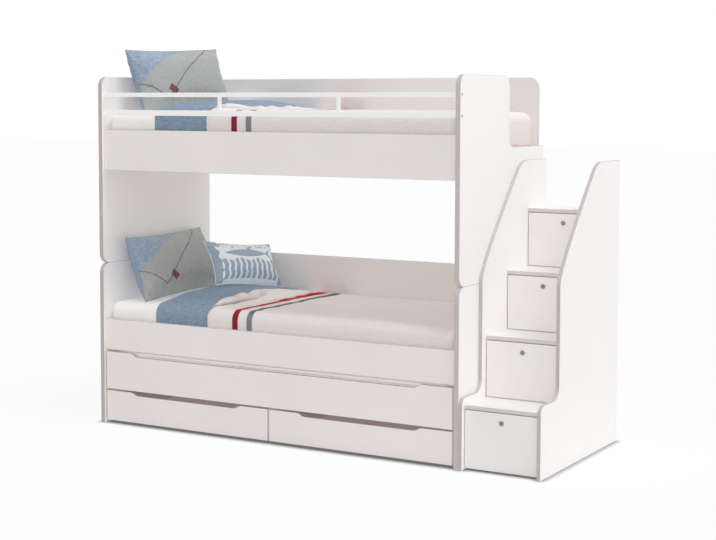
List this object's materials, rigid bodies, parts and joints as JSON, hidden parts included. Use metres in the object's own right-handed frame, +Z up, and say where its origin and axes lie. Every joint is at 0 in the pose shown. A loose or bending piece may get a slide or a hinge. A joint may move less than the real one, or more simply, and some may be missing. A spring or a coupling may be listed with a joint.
{
  "type": "bunk bed",
  "caption": "White board bunk bed with two made-up bunks, a guard rail, a pull-out guest bed on casters over storage drawers, and a drawer staircase at its end",
  "frame": {"origin": "the middle of the floor area that the bed and its staircase cover", "axes": "+X along the bed towards the staircase, +Y towards the wall behind, +Z up"},
  "size_m": [2.4972, 0.954, 1.9885],
  "materials": {
    "white_board": "white melamine-faced board with warm grey edge bands",
    "inner_board": "white melamine-faced board",
    "drawer_board": "pale melamine-faced board",
    "slat_wood": "bare laminated wood",
    "white_steel": "white powder coat",
    "caster_steel": "zinc-plated pressed steel",
    "caster_tread": "grey moulded plastic",
    "knob_grey": "satin grey",
    "ticking": "off-white woven cover",
    "duvet_fabric": "off-white cotton with a blue band, a red stripe and a grey stripe",
    "pillow_fabric": "blue and grey cotton",
    "cushion_fabric": "light blue printed cotton"
  },
  "bodies": {
    "bunk_bed": {"guard_bottom_rail": "white_steel", "guard_post_left": "white_steel", "guard_post_right": "white_steel", "guard_top_rail": "white_steel", "lower_back_panel": "white_board", "lower_duvet": "duvet_fabric", "lower_front_rail": "white_board", "lower_left_end_panel": "white_board", "lower_mattress": "ticking", "lower_pillow": "pillow_fabric", "lower_right_end_panel": "white_board", "lower_slat_base": "slat_wood", "small_cushion": "cushion_fabric", "stair_back_panel": "inner_board", "stair_base_board": "inner_board", "stair_inner_stringer": "white_board", "stair_outer_stringer": "white_board", "stair_tread_1": "white_board", "stair_tread_2": "white_board", "stair_tread_3": "white_board", "stair_tread_4": "white_board", "upper_back_panel": "white_board", "upper_duvet": "duvet_fabric", "upper_front_board": "white_board", "upper_left_end_panel": "white_board", "upper_mattress": "ticking", "upper_pillow": "pillow_fabric", "upper_right_end_panel": "white_board", "upper_slat_base": "slat_wood"},
    "wheel_back_left": {"caster_wheel_back_left": "caster_tread"},
    "wheel_back_right": {"caster_wheel_back_right": "caster_tread"},
    "wheel_front_left": {"caster_wheel_front_left": "caster_tread"},
    "wheel_front_right": {"caster_wheel_front_right": "caster_tread"},
    "pullout_unit": {"caster_fork_back_left": "caster_steel", "caster_fork_back_right": "caster_steel", "caster_fork_front_left": "caster_steel", "caster_fork_front_right": "caster_steel", "pullout_back_panel": "inner_board", "pullout_divider": "inner_board", "pullout_front": "white_board", "pullout_left_side": "inner_board", "pullout_mattress": "ticking", "pullout_right_side": "inner_board", "pullout_slat_base": "slat_wood"},
    "base_drawer_left": {"drawer_left_front": "white_board", "drawer_left_box": "drawer_board"},
    "base_drawer_right": {"drawer_right_front": "white_board", "drawer_right_box": "drawer_board"},
    "stair_drawer_1": {"stair_drawer_front_1": "white_board", "stair_drawer_box_1": "drawer_board"},
    "push_knob_1": {"stair_knob_1": "knob_grey"},
    "stair_drawer_2": {"stair_drawer_front_2": "white_board", "stair_drawer_box_2": "drawer_board"},
    "push_knob_2": {"stair_knob_2": "knob_grey"},
    "stair_drawer_3": {"stair_drawer_front_3": "white_board", "stair_drawer_box_3": "drawer_board"},
    "push_knob_3": {"stair_knob_3": "knob_grey"},
    "stair_drawer_4": {"stair_drawer_front_4": "white_board", "stair_drawer_box_4": "drawer_board"},
    "push_knob_4": {"stair_knob_4": "knob_grey"}
  },
  "joints": [
    {"name": "pullout_slide", "type": "slide", "parent": "bunk_bed", "child": "pullout_unit", "axis": [0, -1, 0], "range_m": [0, 0.75]},
    {"name": "base_drawer_left_slide", "type": "slide", "parent": "pullout_unit", "child": "base_drawer_left", "axis": [0, -1, 0], "range_m": [0, 0.45]},
    {"name": "base_drawer_right_slide", "type": "slide", "parent": "pullout_unit", "child": "base_drawer_right", "axis": [0, -1, 0], "range_m": [0, 0.45]},
    {"name": "stair_drawer_1_slide", "type": "slide", "parent": "bunk_bed", "child": "stair_drawer_1", "axis": [0, -1, 0], "range_m": [0, 0.4]},
    {"name": "stair_drawer_2_slide", "type": "slide", "parent": "bunk_bed", "child": "stair_drawer_2", "axis": [0, -1, 0], "range_m": [0, 0.38]},
    {"name": "stair_drawer_3_slide", "type": "slide", "parent": "bunk_bed", "child": "stair_drawer_3", "axis": [0, -1, 0], "range_m": [0, 0.3]},
    {"name": "stair_drawer_4_slide", "type": "slide", "parent": "bunk_bed", "child": "stair_drawer_4", "axis": [0, -1, 0], "range_m": [0, 0.11]},
    {"name": "push_knob_1_slide", "type": "slide", "parent": "stair_drawer_1", "child": "push_knob_1", "axis": [0, -1, 0], "range_m": [0, 0.01]},
    {"name": "push_knob_2_slide", "type": "slide", "parent": "stair_drawer_2", "child": "push_knob_2", "axis": [0, -1, 0], "range_m": [0, 0.01]},
    {"name": "push_knob_3_slide", "type": "slide", "parent": "stair_drawer_3", "child": "push_knob_3", "axis": [0, -1, 0], "range_m": [0, 0.01]},
    {"name": "push_knob_4_slide", "type": "slide", "parent": "stair_drawer_4", "child": "push_knob_4", "axis": [0, -1, 0], "range_m": [0, 0.01]},
    {"name": "wheel_back_left_spin", "type": "hinge", "parent": "pullout_unit", "child": "wheel_back_left", "pos_m": [-1.20065, 0.3807, 0.024], "axis": [1, 0, 0], "range_deg": [0, 1791]},
    {"name": "wheel_back_right_spin", "type": "hinge", "parent": "pullout_unit", "child": "wheel_back_right", "pos_m": [0.79335, 0.3807, 0.024], "axis": [1, 0, 0], "range_deg": [0, 1791]},
    {"name": "wheel_front_left_spin", "type": "hinge", "parent": "pullout_unit", "child": "wheel_front_left", "pos_m": [-1.20065, -0.3797, 0.024], "axis": [1, 0, 0], "range_deg": [0, 1791]},
    {"name": "wheel_front_right_spin", "type": "hinge", "parent": "pullout_unit", "child": "wheel_front_right", "pos_m": [0.79335, -0.3797, 0.024], "axis": [1, 0, 0], "range_deg": [0, 1791]}
  ],
  "couplings": [
    {"joint": "wheel_back_left_spin", "follows": "pullout_slide", "rad_per_m": 41.667},
    {"joint": "wheel_back_right_spin", "follows": "pullout_slide", "rad_per_m": 41.667},
    {"joint": "wheel_front_left_spin", "follows": "pullout_slide", "rad_per_m": 41.667},
    {"joint": "wheel_front_right_spin", "follows": "pullout_slide", "rad_per_m": 41.667}
  ]
}
